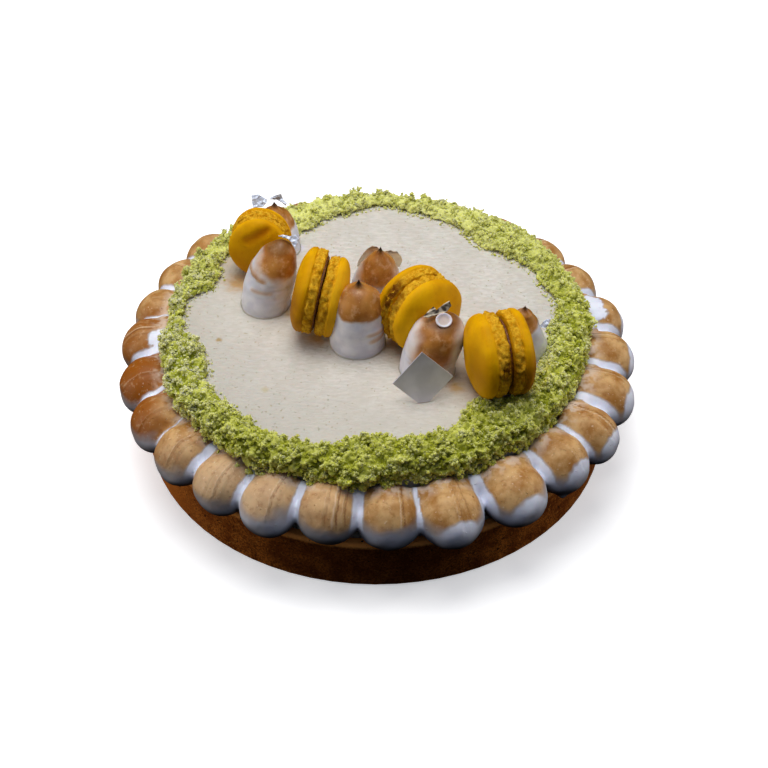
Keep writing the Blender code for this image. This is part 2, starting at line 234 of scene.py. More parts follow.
# Their middle line, half their length and height, and the widest half width, in mm
DOME_R, DOME_Z = 108.75, 39.6
DOME_LONG, DOME_TALL, DOME_WIDEST = 13.1, 12.85, 14.6
# How much further out than the rest some were drawn, and higher, in mm, by their place in the row
DOME_REACH = {0: 0.5, 1: -1, 9: 2.5, 11: -1.2, 12: -1, 13: -0.8, 18: -3, 19: -3, 20: 1.7, 21: 2, 23: 2, 24: 1.2}
DOME_LIFT = {18: 1.2}
DOME_ANGLES = (
    12.6, 27.6, 41.4, 55.2, 69.1, 82.9, 96.8, 110.6, 124.5, 138.3, 151.1, 164.9, 177.3,
    192.3, 206.3, 219.1, 232.8, 245.6, 259.3, 273.2, 287.1, 303.1, 318.1, 330.4, 344.5, 358.6,
)
DOMES = len(DOME_ANGLES)
# Meringue between two domes: its distance out, height and half sizes in mm
FILLER_R, FILLER_Z, FILLER = 101.5, 44.5, (4.2, 6, 5.4)
# Smears and tails where the piping was drawn off: place and half length in mm
TAILS = (
    (-99.5, -5, 51.5, 3.0), (-100.5, -1, 51, 2.6), (-98.5, -9, 51.5, 2.4), (-100, 3, 50.8, 2.2),
    (-97.5, -2, 53, 1.8), (103, 25, 50.6, 3.2), (101, 31, 50.2, 3.0), (105, 17, 50, 3.0), (103.4, 10, 50.2, 2.4),
    (98.5, 34, 50, 2.2), (101, 20, 52, 2.2), (83.6, -78.6, 29.6, 4.6), (87, -75.5, 29.2, 3.0),
)


def drawn(name, sides, rings):
    """A filled circle extruded and scaled ring by ring up to a point. Each ring is its height, its radius
    and its shift in x and y, in mm."""
    height, radius, x, y = rings[0]
    bpy.ops.mesh.primitive_circle_add(vertices=sides, radius=radius * MM, fill_type="TRIFAN",
                                      location=(x * MM, y * MM, height * MM))
    made = bpy.context.object
    made.name = made.data.name = name
    bpy.ops.object.transform_apply(location=True, rotation=True, scale=True)
    bpy.ops.object.mode_set(mode="EDIT")
    bpy.ops.mesh.select_all(action="SELECT")
    for (h0, r0, x0, y0), (h, r, x, y) in zip(rings, rings[1:]):
        step = ((x - x0) * MM, (y - y0) * MM, (h - h0) * MM)
        bpy.ops.mesh.extrude_region_move(TRANSFORM_OT_translate={"value": step})
        bpy.ops.transform.resize(value=(r / r0, r / r0, 1), center_override=(x * MM, y * MM, h * MM))
    bpy.ops.mesh.merge(type="CENTER")
    bpy.ops.mesh.select_all(action="SELECT")
    bpy.ops.mesh.normals_make_consistent(inside=False)
    bpy.ops.object.mode_set(mode="OBJECT")
    bpy.ops.object.shade_smooth()
    made.select_set(False)
    return made


def twin(piece, matrix, name):
    """A copy of a piece with its own mesh, moved in the mesh."""
    made = piece.copy()
    made.data = piece.data.copy()
    made.name = made.data.name = name
    made.data.transform(matrix)
    bpy.context.scene.collection.objects.link(made)
    return made


def apply(piece, *modifiers):
    """Adds modifiers, each (type, settings), and applies them in turn."""
    bpy.context.view_layer.objects.active = piece
    for kind, settings in modifiers:
        modifier = piece.modifiers.new(kind, kind)
        for name, value in settings.items():
            setattr(modifier, name, value)
        bpy.ops.object.modifier_apply(modifier=modifier.name)


def lumps(size, height, middle=0.5, depth=1, kind="CLOUDS", group=""):
    """A Displace for apply: lumps of this size and height in mm, on a vertex group if one is named."""
    texture = bpy.data.textures.new("lumps", kind)
    texture.noise_scale = size * MM
    if kind == "CLOUDS":
        texture.noise_depth = depth
    return "DISPLACE", {"texture": texture, "texture_coords": "GLOBAL", "strength": height * MM,
                        "mid_level": middle, "vertex_group": group}


def points(mesh, what="co"):
    """The mesh's points, or their normals, as an array; points are in mm."""
    found = np.empty(len(mesh.vertices) * 3, np.float32)
    mesh.vertices.foreach_get(what, found)
    return found.reshape(-1, 3).astype(float) / (MM if what == "co" else 1)


def keep(mesh, name, values):
    """Stores one number a point, for the material to read."""
    mesh.attributes.new(name, "FLOAT", "POINT").data.foreach_set("value", np.asarray(values, np.float32))


def wander(at, size, seed=0.0):
    """Smooth noise from -1 to 1 at each point, with lumps of this size in mm."""
    return np.array([noise.noise(Vector((x, y, z + seed * 97)) / size) for x, y, z in at])


def polar(at):
    """Distance from the tart's axis in mm, and angle round it in degrees."""
    return np.hypot(at[:, 0], at[:, 1]), np.degrees(np.arctan2(at[:, 1], at[:, 0]))


def ease(low, high, values):
    """The same on numbers as between in a material."""
    share = np.clip((values - low) / (high - low), 0, 1)
    return share * share * (3 - 2 * share)


def bell(gap, width):
    """1 at no gap, falling off over about this width."""
    return np.exp(-(gap / width) ** 2)


def join(pieces, name):
    """One object from several meshes."""
    bpy.ops.object.select_all(action="DESELECT")
    for piece in pieces:
        piece.select_set(True)
    bpy.context.view_layer.objects.active = pieces[0]
    bpy.ops.object.join()
    pieces[0].name = pieces[0].data.name = name
    pieces[0].select_set(False)
    return pieces[0]


# One dome of size 1 lies along Z: blunt at its inner end, round at the outer one, and a little humped there
rings = []
for step in range(15):
    share = -math.cos(math.pi * (step + 0.35) / 14.8)
    width = (1 - abs(share) ** (12 if share < 0 else 2)) ** (0.25 if share < 0 else 0.5)
    rings.append((share, max(width, 0.05), 0.24 * max(share, 0) ** 2 * width, 0))
one = drawn("dome", 36, rings)
one.data.transform(Matrix.Rotation(math.pi / 2, 4, "Y") @ Matrix.Scale(1 / MM, 4))
gaps = [(after - angle) % 360 for angle, after in zip(DOME_ANGLES, DOME_ANGLES[1:] + DOME_ANGLES[:1])]
domes, half_width = [], []
for number, angle in enumerate(DOME_ANGLES):
    half_width.append(min(DOME_R * math.tan(math.radians((gaps[number] + gaps[number - 1]) / 4)) + 0.9, DOME_WIDEST))
    reach = DOME_REACH.get(number, 0) / 2
    size = Matrix.Diagonal(((DOME_LONG + reach) * MM, half_width[-1] * MM, DOME_TALL * MM, 1))
    turn = Matrix.Rotation(math.radians(angle), 4, "Z")
    lift = Matrix.Translation(((DOME_R + reach) * MM, 0, (DOME_Z + DOME_LIFT.get(number, 0)) * MM))
    domes.append(twin(one, turn @ lift @ size, "dome"))
for angle, gap in zip(DOME_ANGLES, gaps):
    turn = Matrix.Rotation(math.radians(angle + gap / 2), 4, "Z")
    between = turn @ Matrix.Translation((FILLER_R * MM, 0, FILLER_Z * MM))
    domes.append(twin(one, between @ Matrix.Diagonal([s * MM for s in FILLER] + [1]), "filler"))
for x, y, z, size in TAILS:
    place = Matrix.Translation((x * MM, y * MM, z * MM)) @ Matrix.Rotation(math.atan2(y, x) + math.pi / 2, 4, "Z")
    domes.append(twin(one, place @ Matrix.Diagonal((size * MM, size * 0.62 * MM, size * 0.5 * MM, 1)), "tail"))
bpy.data.objects.remove(one)
ring = join(domes, "meringue_ring")
apply(
    ring,
    ("REMESH", {"mode": "VOXEL", "voxel_size": 0.00094, "use_smooth_shade": True}),
    ("SMOOTH", {"factor": 0.5, "iterations": 9}),
    lumps(11, 1.1),
)
# Each point's own dome, and its place across and along that dome in mm
at, facing = points(ring.data), points(ring.data, "normal")
radius, angle = polar(at)
off = (angle[:, None] - np.array(DOME_ANGLES) + 180) % 360 - 180
which = np.abs(off).argmin(axis=1)
off = np.radians(off[np.arange(len(at)), which])
across = DOME_R * np.sin(off) * 13 / np.array(half_width)[which]
along = radius * np.cos(off) - DOME_R
# The torch reached the tops and not the sides, further out on some domes, with a frayed border
luck = np.random.default_rng(11).random((4, DOMES))[:, which]
wobble = wander(at, 9) * 0.7 + wander(at, 2.2, 3) * 0.3
fray = wander(at, 1.6, 6)
drawn_out = np.array([max(DOME_REACH.get(k, 0), 0) for k in range(DOMES)])[which]
wider = ease(-60, -100, at[:, 0]) * ease(30, 5, at[:, 1]) * 0.7 + drawn_out * np.isin(which, (20, 21)) * 0.6
wider -= ease(60, 90, at[:, 0]) * 0.5
side = ease(10.7, 9.4, np.abs(across + (luck[0] - 0.5) * 1.2) + wobble * 0.8 - wider)
inner = ease(-12.6, -11.8, along + wobble * 1.4 + fray * 0.8 + luck[1] * 1.6)
inner *= 1 - ease(0.1, 0.6, np.cos(np.radians(angle + 12))) * ease(8.6, 10.6, along + wobble * 1.6 - drawn_out)
front = ease(-60, -95, at[:, 1])
under = facing[:, 2] + wobble * 0.12 + (luck[2] - 0.5) * 0.3 + across * 0.012 * (luck[1] - 0.7)
under = ease(-0.35, 0.55, under - front * 0.12 + ease(-100, -112, at[:, 0]) * 0.2)
smear = np.minimum(np.hypot(at[:, 0] + 99.5, at[:, 1] + 2.5) - 6.5, np.hypot(at[:, 0] - 100, at[:, 1] - 22) - 9.5)
toast = side * inner * under * ease(-1.0, 1.0, smear + wobble * 3 + fray * 1.5) * ease(26, 33, at[:, 2])
# Lines that the nozzle drew along the top, each a furrow with a ridge beside it, in relief and with painted shade and
# highlight
turn = luck[3] * 5 - 0.5 + wobble * 0.8
line = bell(across - turn, 0.5) - bell(across - turn - 1.1, 0.45) * 0.8
line += (bell(across - turn - 3, 0.5) - bell(across - turn - 4, 0.5)) * (luck[0] - 0.2)
line += (bell(across - turn + 4, 0.6) - bell(across - turn + 2.8, 0.5)) * luck[2] * 0.6
line *= ease(-13, -9, along) * ease(0.1, 0.5, facing[:, 2]) * (luck[1] * 0.7 + 0.4)
keep(ring.data, "toast", toast)
keep(ring.data, "ridge", line * 0.5 + 0.5)
keep(ring.data, "along", along)
# Painted shade on the domes' undersides, darker the further they face down
keep(ring.data, "under", ease(0.35, -0.6, facing[:, 2]) * ease(100, 108, radius))
keep(ring.data, "dome", luck[3] * 0.35 + ease(-84, -106, at[:, 0]) * ease(42, 8, at[:, 1]) * 0.65)
keep(ring.data, "grey", ease(10, -60, at[:, 0]) * front)

look = Look("torched meringue", Specular_IOR_Level=0.2, Subsurface_Weight=0.08, Subsurface_Scale=0.002)
toast, ridge, dome = look.attribute("toast"), look.attribute("ridge"), look.attribute("dome")
fine, broad = look.grain(0.7, 4, 0.6), look.grain(7, 3)
mottle = look.grain(2.8, 4, 0.65, seed=15)
# Painted sheen: a pale highlight on the inner tops of some domes
pale = look.attribute("along").between(-1, -9) * look.grain(5, 2, seed=12).between(0.42, 0.56)
brown = look.coat(
    (164, 112, 52),
    (broad.between(0.3, 0.7), (210, 168, 112)),
    (dome.between(0.3, 1.0), (146, 80, 8)),
    (look.attribute("grey") * 0.6, (208, 180, 146)),
    (mottle.between(0.52, 0.68) * 0.4, (136, 84, 36)),
    (mottle.between(0.46, 0.32) * 0.3, (222, 186, 140)),
    (pale * 0.8, (222, 200, 182)),
    (look.grain(1.4, 2, 0.5, seed=3).between(0.64, 0.72) * 0.4, (236, 212, 182)),
    (look.grain(2.4, 1, 0.5, seed=6).between(0.26, 0.21) * 0.6, (132, 76, 34)),
    # Painted shade in the furrows and painted highlight on the ridges
    (ridge.between(0.46, 0.12) * 0.75, (122, 72, 32)),
    (ridge.between(0.6, 0.95) * 0.55, (232, 204, 170)),
)
white = look.coat(
    (222, 226, 242),
    (broad.between(0.35, 0.65), (234, 237, 250)),
    # Painted shade on the undersides
    (look.attribute("under"), (74, 68, 66)),
)
edge = toast.between(0.0, 0.5) * toast.between(1.0, 0.4)
colour = look.coat(look.mix(toast.between(0.02, 0.9), white, brown), (edge * 0.4, (140, 124, 112)))
bubble = look.grain(1.7, 0, 0.5, seed=8).between(0.76, 0.8)
wear(ring, look.finish(colour, 0.4 + fine * 0.18, fine * 0.2 + ridge * 1.1 + bubble * 0.7 + broad * 0.3, 0.4),
     *[f"meringue_{k:02d}" for k in range(1, DOMES + 1)])

# --- Crumbs --------------------------------------------------------------------------------------
# Green sponge crumbled over the disc's edge while the cream was soft: a packed bed, with soft crumbs of
# all sizes on it, spiky where they stand up, some tumbled on the cream and down to the meringue.

# Angle and outer edge in mm of the crumbs, where they spill between two domes or stop short of one
SPILL = (
    (1, 100.4), (14, 100.4), (29, 98.6), (38, 100.6), (45, 100.6), (60, 99.8), (90, 100), (120, 100),
    (144, 99.5), (151, 101.5), (160, 98.4), (167, 98.6), (177, 96.4), (181, 96.8), (191, 101), (207, 102.5),
    (218, 102.8), (227, 104.5), (234, 105.5), (239, 104.8), (243, 103.4), (248, 102), (253, 100.6), (259, 102),
    (263, 103.6), (267, 102), (273, 101), (279, 98.3), (284, 98.8), (291, 101), (299, 98.8), (306, 98.8),
    (314, 99.4), (322, 98.6), (331, 96.2), (340, 97), (350, 98.3),
)
# How many are heaped, in the groove by the domes, leaning on the last kiss, in spikes of three, strewn and loose
HEAPED, IN_GROOVE, LEANING, SPIKES, STREWN, LOOSE = 1500, 800, 170, 60, 7600, 2600


def outer_edge(angle):
    """Radius in mm of the crumbs' outer edge at an angle in degrees."""
    return np.interp(angle, *zip(*SPILL), period=360)


def around(angle, radius, height):
    """Points at these angles in degrees, distances from the axis and heights in mm."""
    a = np.radians(angle)
    return np.stack([radius * np.cos(a), radius * np.sin(a), height], axis=1)


# The bed is the solid's own form, its outer edge pulled to where the crumbs end, then crumbled
core = twin(frame["nodes"]["crumb_ring"], Matrix(), "crumb_bed")
for key in [k for k in core.keys() if k.startswith("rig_")]:
    del core[key]
core.parent = None
apply(
    core,
    ("WELD", {"merge_threshold": 0.00001}),
    ("REMESH", {"mode": "VOXEL", "voxel_size": 0.00074, "use_smooth_shade": True}),
)
at = points(core.data)
out, angle = polar(at)
spill = outer_edge(angle)
skirt, edge = ease(52, 60, at[:, 2]), np.clip(spill, 98.2, 103.5) - 92
pull = np.where(out > 92, (92 + (out - 92) * ((spill - 92.6) * skirt + edge * (1 - skirt)) / edge) / out, 1)
at[:, :2] *= pull[:, None]
core.data.vertices.foreach_set("co", (at * MM).ravel())
core.data.update()
facing = points(core.data, "normal")
# The crumbs lie flatter at the back
group = core.vertex_groups.new(name="heaped")
share = np.round(1 - 0.55 * ease(10, 80, at[:, 1]), 2)
for level in np.unique(share):
    group.add(np.nonzero(share == level)[0].tolist(), float(level), "REPLACE")
apply(core, lumps(4.6, 6.2, 0.54, group="heaped"), lumps(1.9, -2.4, 0.3, kind="VORONOI"))
# How far each point rose, for painted light on the lumps and painted shade in the hollows
risen = ((points(core.data) - at) * facing).sum(axis=1)
keep(core.data, "rise", risen)


def added(name, data):
    """A new object in the scene for this mesh, lamp or camera."""
    made = bpy.data.objects.new(name, data)
    bpy.context.scene.collection.objects.link(made)
    return made


def crumb_shapes(level, count, rough, kept):
    """Ragged crumbs of about 1 mm radius, as points and triangles, thinned to the share kept."""
    shapes = []
    for number in range(count):
        bpy.ops.mesh.primitive_ico_sphere_add(subdivisions=level, radius=1)
        lump = bpy.context.object
        bpy.ops.object.mode_set(mode="EDIT")
        bpy.ops.transform.vertex_random(offset=rough, uniform=0.5, normal=0.5, seed=number + 3)
        bpy.ops.object.mode_set(mode="OBJECT")
        apply(lump, ("DECIMATE", {"ratio": kept}))
        mesh = lump.data
        shapes.append((points(mesh) * MM, np.array([list(f.vertices) for f in mesh.polygons])))
        bpy.data.objects.remove(lump)
    return shapes


def scattered(name, shapes, places, sizes, tints, seed):
    """One mesh of crumbs, one at each place, each turned and squashed at random."""
    rng = np.random.default_rng(seed)
    verts, faces, shades, start = [], [], [], 0
    for place, size, tint in zip(places, sizes, tints):
        shape, triangles = shapes[rng.integers(len(shapes))]
        turn = np.array(Matrix.Rotation(rng.uniform(0, 6.3), 3, Vector(rng.normal(size=3)).normalized()))
        verts.append((shape * rng.uniform(0.65, 1.3, 3)) @ turn.T * size + place)
        faces.append(triangles + start)
        shades.append(np.full(len(shape), tint))
        start += len(shape)
    mesh = bpy.data.meshes.new(name)
    mesh.from_pydata((np.concatenate(verts) * MM).tolist(), [], np.concatenate(faces).tolist())
    keep(mesh, "tint", np.concatenate(shades))
    return added(name, mesh)


# Crumbs lie on the bed's upper side and on its outer slope, in proportion to the area there
mesh = core.data
mesh.calc_loop_triangles()
triangles = np.array([t.vertices for t in mesh.loop_triangles])
corner = points(mesh)[triangles]
risen = risen[triangles].mean(axis=1)
cross = np.cross(corner[:, 1] - corner[:, 0], corner[:, 2] - corner[:, 0])
area = np.linalg.norm(cross, axis=1)
up = cross[:, 2] / area
middle = corner.mean(axis=1)
out, _ = polar(middle)
weight = area * (((up > -0.1) & (middle[:, 2] > 58)) | ((out > 94) & (up > -0.4) & (middle[:, 2] > 51.5)))
weight = weight / weight.sum()
rng = np.random.default_rng(5)


def on_bed(count, lift):
    """Places on the bed's upper side, lifted by up to this many mm where the crumbs heap up, and how far the
    bed itself has risen there, from 0 to 1."""
    chosen = rng.choice(len(middle), count, p=weight)
    found = middle[chosen] + rng.normal(scale=0.3, size=(count, 3))
    heap = np.clip(wander(found, 8, 2) + 0.5, 0, 1) * ease(52, 62, found[:, 2])
    found[:, 2] += rng.random(count) ** 1.6 * lift * heap
    return found, np.clip(risen[chosen] * 0.28 + 0.42, 0, 1)


# Soft clumps: in the groove, leaning, stood up in a spike of three, and heaped
angle = rng.uniform(0, 360, IN_GROOVE)
out = 95.9 + (outer_edge(angle) - 96.4) * rng.random(IN_GROOVE)
groove = around(angle, out, 48.6 + 5.6 * rng.random(IN_GROOVE))
angle, out = rng.uniform(322, 358, LEANING), rng.uniform(79.6, 84.5, LEANING)
lean = around(angle, out, DISC_TOP + 0.2 + (out - 79) * 0.5 * rng.random(LEANING))
spikes, _ = on_bed(SPIKES, 2.4)
spikes = np.concatenate([spikes + (0, 0, up) + rng.normal(scale=0.25, size=spikes.shape) for up in (0.3, 1.3, 2.3)])
heaped, high = on_bed(HEAPED, 1.6)
clumps = np.concatenate([heaped, groove, lean, spikes])
girth = 0.75 + rng.random(len(clumps)) ** 1.6
girth[-len(spikes):] = np.repeat((1.2, 0.9, 0.6), SPIKES)
high = np.concatenate([high, np.full(IN_GROOVE + LEANING, 0.3), np.full(len(spikes), 0.6)])
# Each clump's tint is partly random, and paler where the bed has risen: a painted highlight on the peaks and painted
# shade lower down
hue_and_shade = rng.random(len(clumps)) * 0.5 + high * 0.6
# The smaller crumbs that cover each clump and the bed
owner = np.repeat(np.arange(len(clumps)), np.ceil(4.5 * girth ** 1.8).astype(int))
aim = rng.normal(size=(len(owner), 3))
aim /= np.linalg.norm(aim, axis=1)[:, None]
aim[:, 2] = np.where(aim[:, 2] < -0.3, -aim[:, 2], aim[:, 2])
far = rng.uniform(0.7, 1.25, len(owner))
strewn, high = on_bed(STREWN, 0.6)
cover = np.concatenate([clumps[owner] + aim * (girth[owner] * far)[:, None], strewn])
# Each crumb's tint is partly random, and paler where it faces up or stands out and where the bed has risen: painted
# light on tops, painted shade in gaps
cover_tint_and_shade = np.clip(hue_and_shade[owner] * 0.55 + rng.random(len(owner)) * 0.22 + aim[:, 2] * 0.2 + (far - 0.7) * 0.25, 0, 1)
cover_tint_and_shade = np.concatenate([cover_tint_and_shade, high * 0.7 + rng.random(STREWN) * 0.25])
# The fringe, strewn from the bed's inner edge over the cream. The edge is found in slices of 2 degrees
bed = points(mesh)
bed = bed[bed[:, 2] > DISC_TOP + 0.6]
out, angle = polar(bed)
slices = 180
piece_of = (angle % 360 / 2).astype(int) % slices
brink = np.array([np.percentile(out[piece_of == k], 1) for k in range(slices)])
angle, stray = rng.uniform(0, 360, LOOSE), 4.5 * rng.random(LOOSE) ** 3 - 1.5
out = np.interp(angle, np.arange(slices) * 2 + 1, brink, period=360) - stray
loose = around(angle, out, DISC_TOP + 0.35 + np.clip(-stray, 0, 1) * rng.random(LOOSE))
ragged, small = crumb_shapes(2, 8, 0.3, 0.55), crumb_shapes(1, 6, 0.3, 1.0)

SPONGE = {"Specular_IOR_Level": 0.0, "Subsurface_Scale": 0.0024, "Subsurface_Radius": (1.0, 1.0, 0.4)}
look = Look("green sponge", Subsurface_Weight=0.8, **SPONGE)
tint = look.attribute("tint")
fine = look.grain(0.5, 3, 0.65)
back, left = look.axis("Y"), look.near(-95, -20, 60).between(75, 20)
patch = look.grain(5, 2, seed=14)
tan = look.near(-31.5, -78, 64).between(7, 3.5) * look.grain(3, 2).between(0.4, 0.5)
green = look.coat(
    (186, 190, 70),
    # Paler by tint: partly random, partly painted light on peaks and painted shade in gaps
    (tint.between(0.1, 0.55), (224, 226, 136)),
    (tint.between(0.5, 0.95), (232, 236, 166)),
    # Paler at the back, painted light shining through from behind, and at the left, in darker and lighter patches,
    # painted shade dark at the front, with one toasted spot
    (back.between(0, 90) * 0.9, (214, 215, 126)),
    (left * 0.5, (232, 230, 186)),
    (patch.between(0.5, 0.32) * (0.6 - back.between(0, 90) * 0.35), (158, 164, 34)),
    (patch.between(0.54, 0.7) * 0.5, (226, 226, 168)),
    (back.between(-40, -95) * 0.3, (164, 166, 50)),
    (fine.between(0.56, 0.38) * 0.2, (180, 178, 56)),
    (tan * 0.85, (226, 190, 134)),
)
sponge = look.finish(green, 0.85, fine, 0.1)
look = Look("packed sponge", Subsurface_Weight=0.6, **SPONGE)
fine, rise = look.grain(1.1, 4, 0.65), look.attribute("rise")
back, patch = look.axis("Y"), look.grain(5, 2, seed=14)
packed = look.coat(
    (150, 156, 40),
    # Painted light paler on the risen lumps and at the back, painted shade in the hollows and at the front, in darker
    # patches
    (rise.between(-1.8, 1.2), (212, 214, 112)),
    (back.between(0, 90) * 0.9, (228, 229, 142)),
    (patch.between(0.5, 0.32) * (0.6 - back.between(0, 90) * 0.35), (140, 146, 24)),
    (back.between(-40, -95) * 0.3, (140, 142, 30)),
    (fine.between(0.5, 0.7) * 0.5, (228, 226, 150)),
)
wear(core, look.finish(packed, 0.9, fine, 0.3), "crumb_ring")

# The clumps are one piece, and all others are sorted from large to small into four
cover = np.concatenate([cover, loose])
cover_tint_and_shade = np.concatenate([cover_tint_and_shade, rng.random(LOOSE)])
cover_size = 0.24 + 0.56 * rng.random(len(cover)) ** 1.8
cover_size[-LOOSE:] *= 0.8
order = np.argsort(cover_size)
heaps = [("crumbs_clumped", ragged, clumps, girth * 0.8, hue_and_shade * 0.4)]
last = len(order)
for name, shapes, count in (("crumbs_coarse", ragged, 4200), ("crumbs_middling", ragged, 4200),
                            ("crumbs_small", small, 9500), ("crumbs_fine", small, 9500)):
    first = max(last - count, 0)
    some = order[first:last]
    last = first
    heaps.append((name, shapes, cover[some], cover_size[some], cover_tint_and_shade[some]))
for name, shapes, places, sizes, tints in heaps:
    crumbs = scattered(name, shapes, places, sizes, tints, len(name))
    wear(crumbs, sponge)

# --- Macarons ------------------------------------------------------------------------------------
# Four small yellow macarons set on edge. Each is two almond shells, smooth and domed, with the ruffled
# pitted foot that rises in baking, and dark ganache between them that shows in the seam.

# Middle, heading and rise of the axis in degrees, radius, thickness, width for the height, how far the seam lies
# off the middle, and how far each shell keeps from the seam, in mm
MACARONS = (
    ((-55.2, 38.0), -95.0, 0.0, 16.6, 19.5, 0.87, 0, 0.0),
    ((-25.5, -4.2), 172.0, 9.5, 19.8, 24.0, 1, 0, 0.0),
    ((19.1, -13.0), -55.0, 0.5, 18.5, 26.0, 1, 0, 0.1),
    ((53.4, -44.9), 193.5, 0.0, 19.1, 28.0, 1, -1.4, 0.7),
)
# The one shell that is smaller than its mate and has slipped: by how much of its width, and where to in mm
SLIPPED = {(1, "b"): (0.95, (0.6, 0, -1.6))}
# Profile of a shell of size 1, from the seam up: height and radius of the ruffled foot, then of the smooth cap
FOOT = (
    (0.01, 0.88), (0.03, 0.945), (0.07, 0.965), (0.13, 0.975), (0.2, 0.985), (0.25, 0.98), (0.3, 0.985),
    (0.34, 0.97), (0.375, 0.955),
)
CAP = (
    (0.395, 0.965), (0.42, 0.985), (0.46, 0.995), (0.51, 0.99),
    *((0.51 + 0.49 * math.sin(t), 0.99 * math.cos(t) ** 0.8) for t in np.linspace(0.12, 1.5, 13)),
)
GANACHE = ((-1, 0.82), (-0.5, 0.85), (0, 0.86), (0.5, 0.85), (0.95, 0.82), (1, 0.02))


def macaron_frame(centre, heading, rise, radius, thickness):
    """The macaron's middle, with its axis as Z, standing on the cream."""
    a, e = math.radians(heading), math.radians(rise)
    height = DISC_TOP + 0.32 + radius * math.cos(e) + 0.25 * thickness * abs(math.sin(e))
    axis = Vector((math.cos(e) * math.cos(a), math.cos(e) * math.sin(a), math.sin(e)))
    return Matrix.Translation(Vector((*centre, height)) * MM) @ axis.to_track_quat("Z", "Y").to_matrix().to_4x4()


one_shell = drawn("shell", 120, [(h, r, 0, 0) for h, r in FOOT + CAP])
one_shell.data.transform(Matrix.Scale(1 / MM, 4))
one_filling = drawn("filling", 96, [(h, r, 0, 0) for h, r in GANACHE])
one_filling.data.transform(Matrix.Scale(1 / MM, 4))
shells = []
for number, (*stance, radius, thickness, oval, seam, crack) in enumerate(MACARONS):
    stood = macaron_frame(*stance, radius, thickness)
    for turn, letter, seam_side in ((0, "a", seam), (math.pi, "b", -seam)):
        half = thickness / 2 - seam_side - crack
        shrink, slip = SLIPPED.get((number, letter), (1, (0, 0, 0)))
        size = Matrix.Diagonal((radius * shrink * MM, radius * shrink * MM, half * MM, 1))
        settle = Matrix.Translation(Vector(slip) * MM) @ stood
        widen = Matrix.Diagonal((oval, 1, 1, 1))
        stand = settle @ Matrix.Translation((0, 0, seam * MM)) @ widen @ Matrix.Rotation(turn, 4, "X")
        piece = twin(one_shell, size, f"shell_{number + 1}_{letter}")
        at = points(piece.data)
        depth = at[:, 2] / half
        keep(piece.data, "foot", ease(0.45, 0.39, depth))
        keep(piece.data, "seam", ease(0.07, 0.02, depth))
        ruffle = piece.vertex_groups.new(name="foot")
        lumpy = ease(0.43, 0.34, depth) * ease(0.0, 0.06, depth)
        for index in np.nonzero(lumpy > 0.01)[0]:
            ruffle.add([int(index)], float(lumpy[index]), "REPLACE")
        piece.data.transform(stand @ Matrix.Translation((0, 0, crack * MM)))
        bruise = np.zeros(len(at))
        if piece.name == "shell_1_a":
            # It was pressed in along a line, and its skin rose beside that. The brown along the line is partly a bruise
            # and partly painted shade in the groove
            at, facing = points(piece.data), points(piece.data, "normal")
            start, run = np.array((-60.4, 29.3, 84.2)), np.array((9.4, 0.6, 6.0))
            share = np.clip((at - start) @ run / (run @ run), 0, 1)
            gap = np.linalg.norm(at - start - share[:, None] * run, axis=1) + wander(at, 4) * 0.8
            bruise = ease(3.6, 0.3, gap)
            at -= facing * (0.5 * bell(gap, 1.5) - 0.4 * bell(gap - 3.5, 1.6))[:, None]
            piece.data.vertices.foreach_set("co", (at * MM).ravel())
        keep(piece.data, "bruise", bruise)
        apply(piece, lumps(13, 1.2), lumps(1.9, 3.6, 0.56, depth=2, group="foot"))
        shells.append(piece)
    wide = Matrix.Diagonal((radius * oval * MM, radius * MM, thickness * 0.03 * MM, 1))
    filling = twin(one_filling, stood @ Matrix.Translation((0, 0, seam * MM)) @ wide, f"ganache_{number + 1}")
    shells.append(filling)
bpy.data.objects.remove(one_shell)
bpy.data.objects.remove(one_filling)

look = Look("almond shell", Specular_IOR_Level=0.07, Subsurface_Weight=0.05, Subsurface_Scale=0.002)
rim, seam = look.attribute("foot"), look.attribute("seam")
broad, fine = look.grain(8, 3), look.grain(0.6, 4, 0.65)
yellow = look.coat(
    (210, 148, 0),
    (broad.between(0.3, 0.7), (230, 170, 0)),
    (look.grain(4, 3, 0.6, seed=2).between(0.56, 0.75) * 0.4, (186, 112, 0)),
    (look.grain(1.1, 1, 0.5, seed=11).between(0.7, 0.76) * 0.35, (160, 92, 0)),
    # Browner along the pressed line, partly a bruise and partly painted shade
    (look.attribute("bruise") * broad.between(0.1, 0.5) * 0.6, (184, 98, 4)),
)
# Shaded and lit sides: place, size, colour, and how much of it
for x, y, z, size, tone, share in (
    (-66, 29, 67, 17, (176, 104, 6), 0.6), (20, -16, 66, 12, (176, 104, 6), 0.6), (45, -46, 66, 10, (176, 104, 6), 0.6),
    (-38, -16, 78, 24, (158, 100, 0), 1.0), (66, -58, 78, 18, (146, 92, 0), 1.0),
    (42, -58, 80, 15, (172, 114, 0), 0.7), (24, -28, 80, 23, (250, 192, 16), 1.0),
    (-13, -12, 82, 20, (250, 192, 36), 1.0),
):
    shade = look.near(x, y, z).between(size, size * 0.2) * broad.between(0.1, 0.6)
    yellow = look.coat(yellow, (shade * share, tone))
ruffled = look.coat(
    (196, 134, 4),
    (look.grain(1.5, 4, 0.65, seed=7).between(0.36, 0.62), (232, 180, 44)),
    (look.grain(1.3, 2, 0.6, seed=5).between(0.38, 0.28) * 0.7, (150, 86, 4)),
    (seam * look.grain(2, 3, 0.6, seed=8).between(0.3, 0.55) * 0.85, (112, 54, 2)),
)
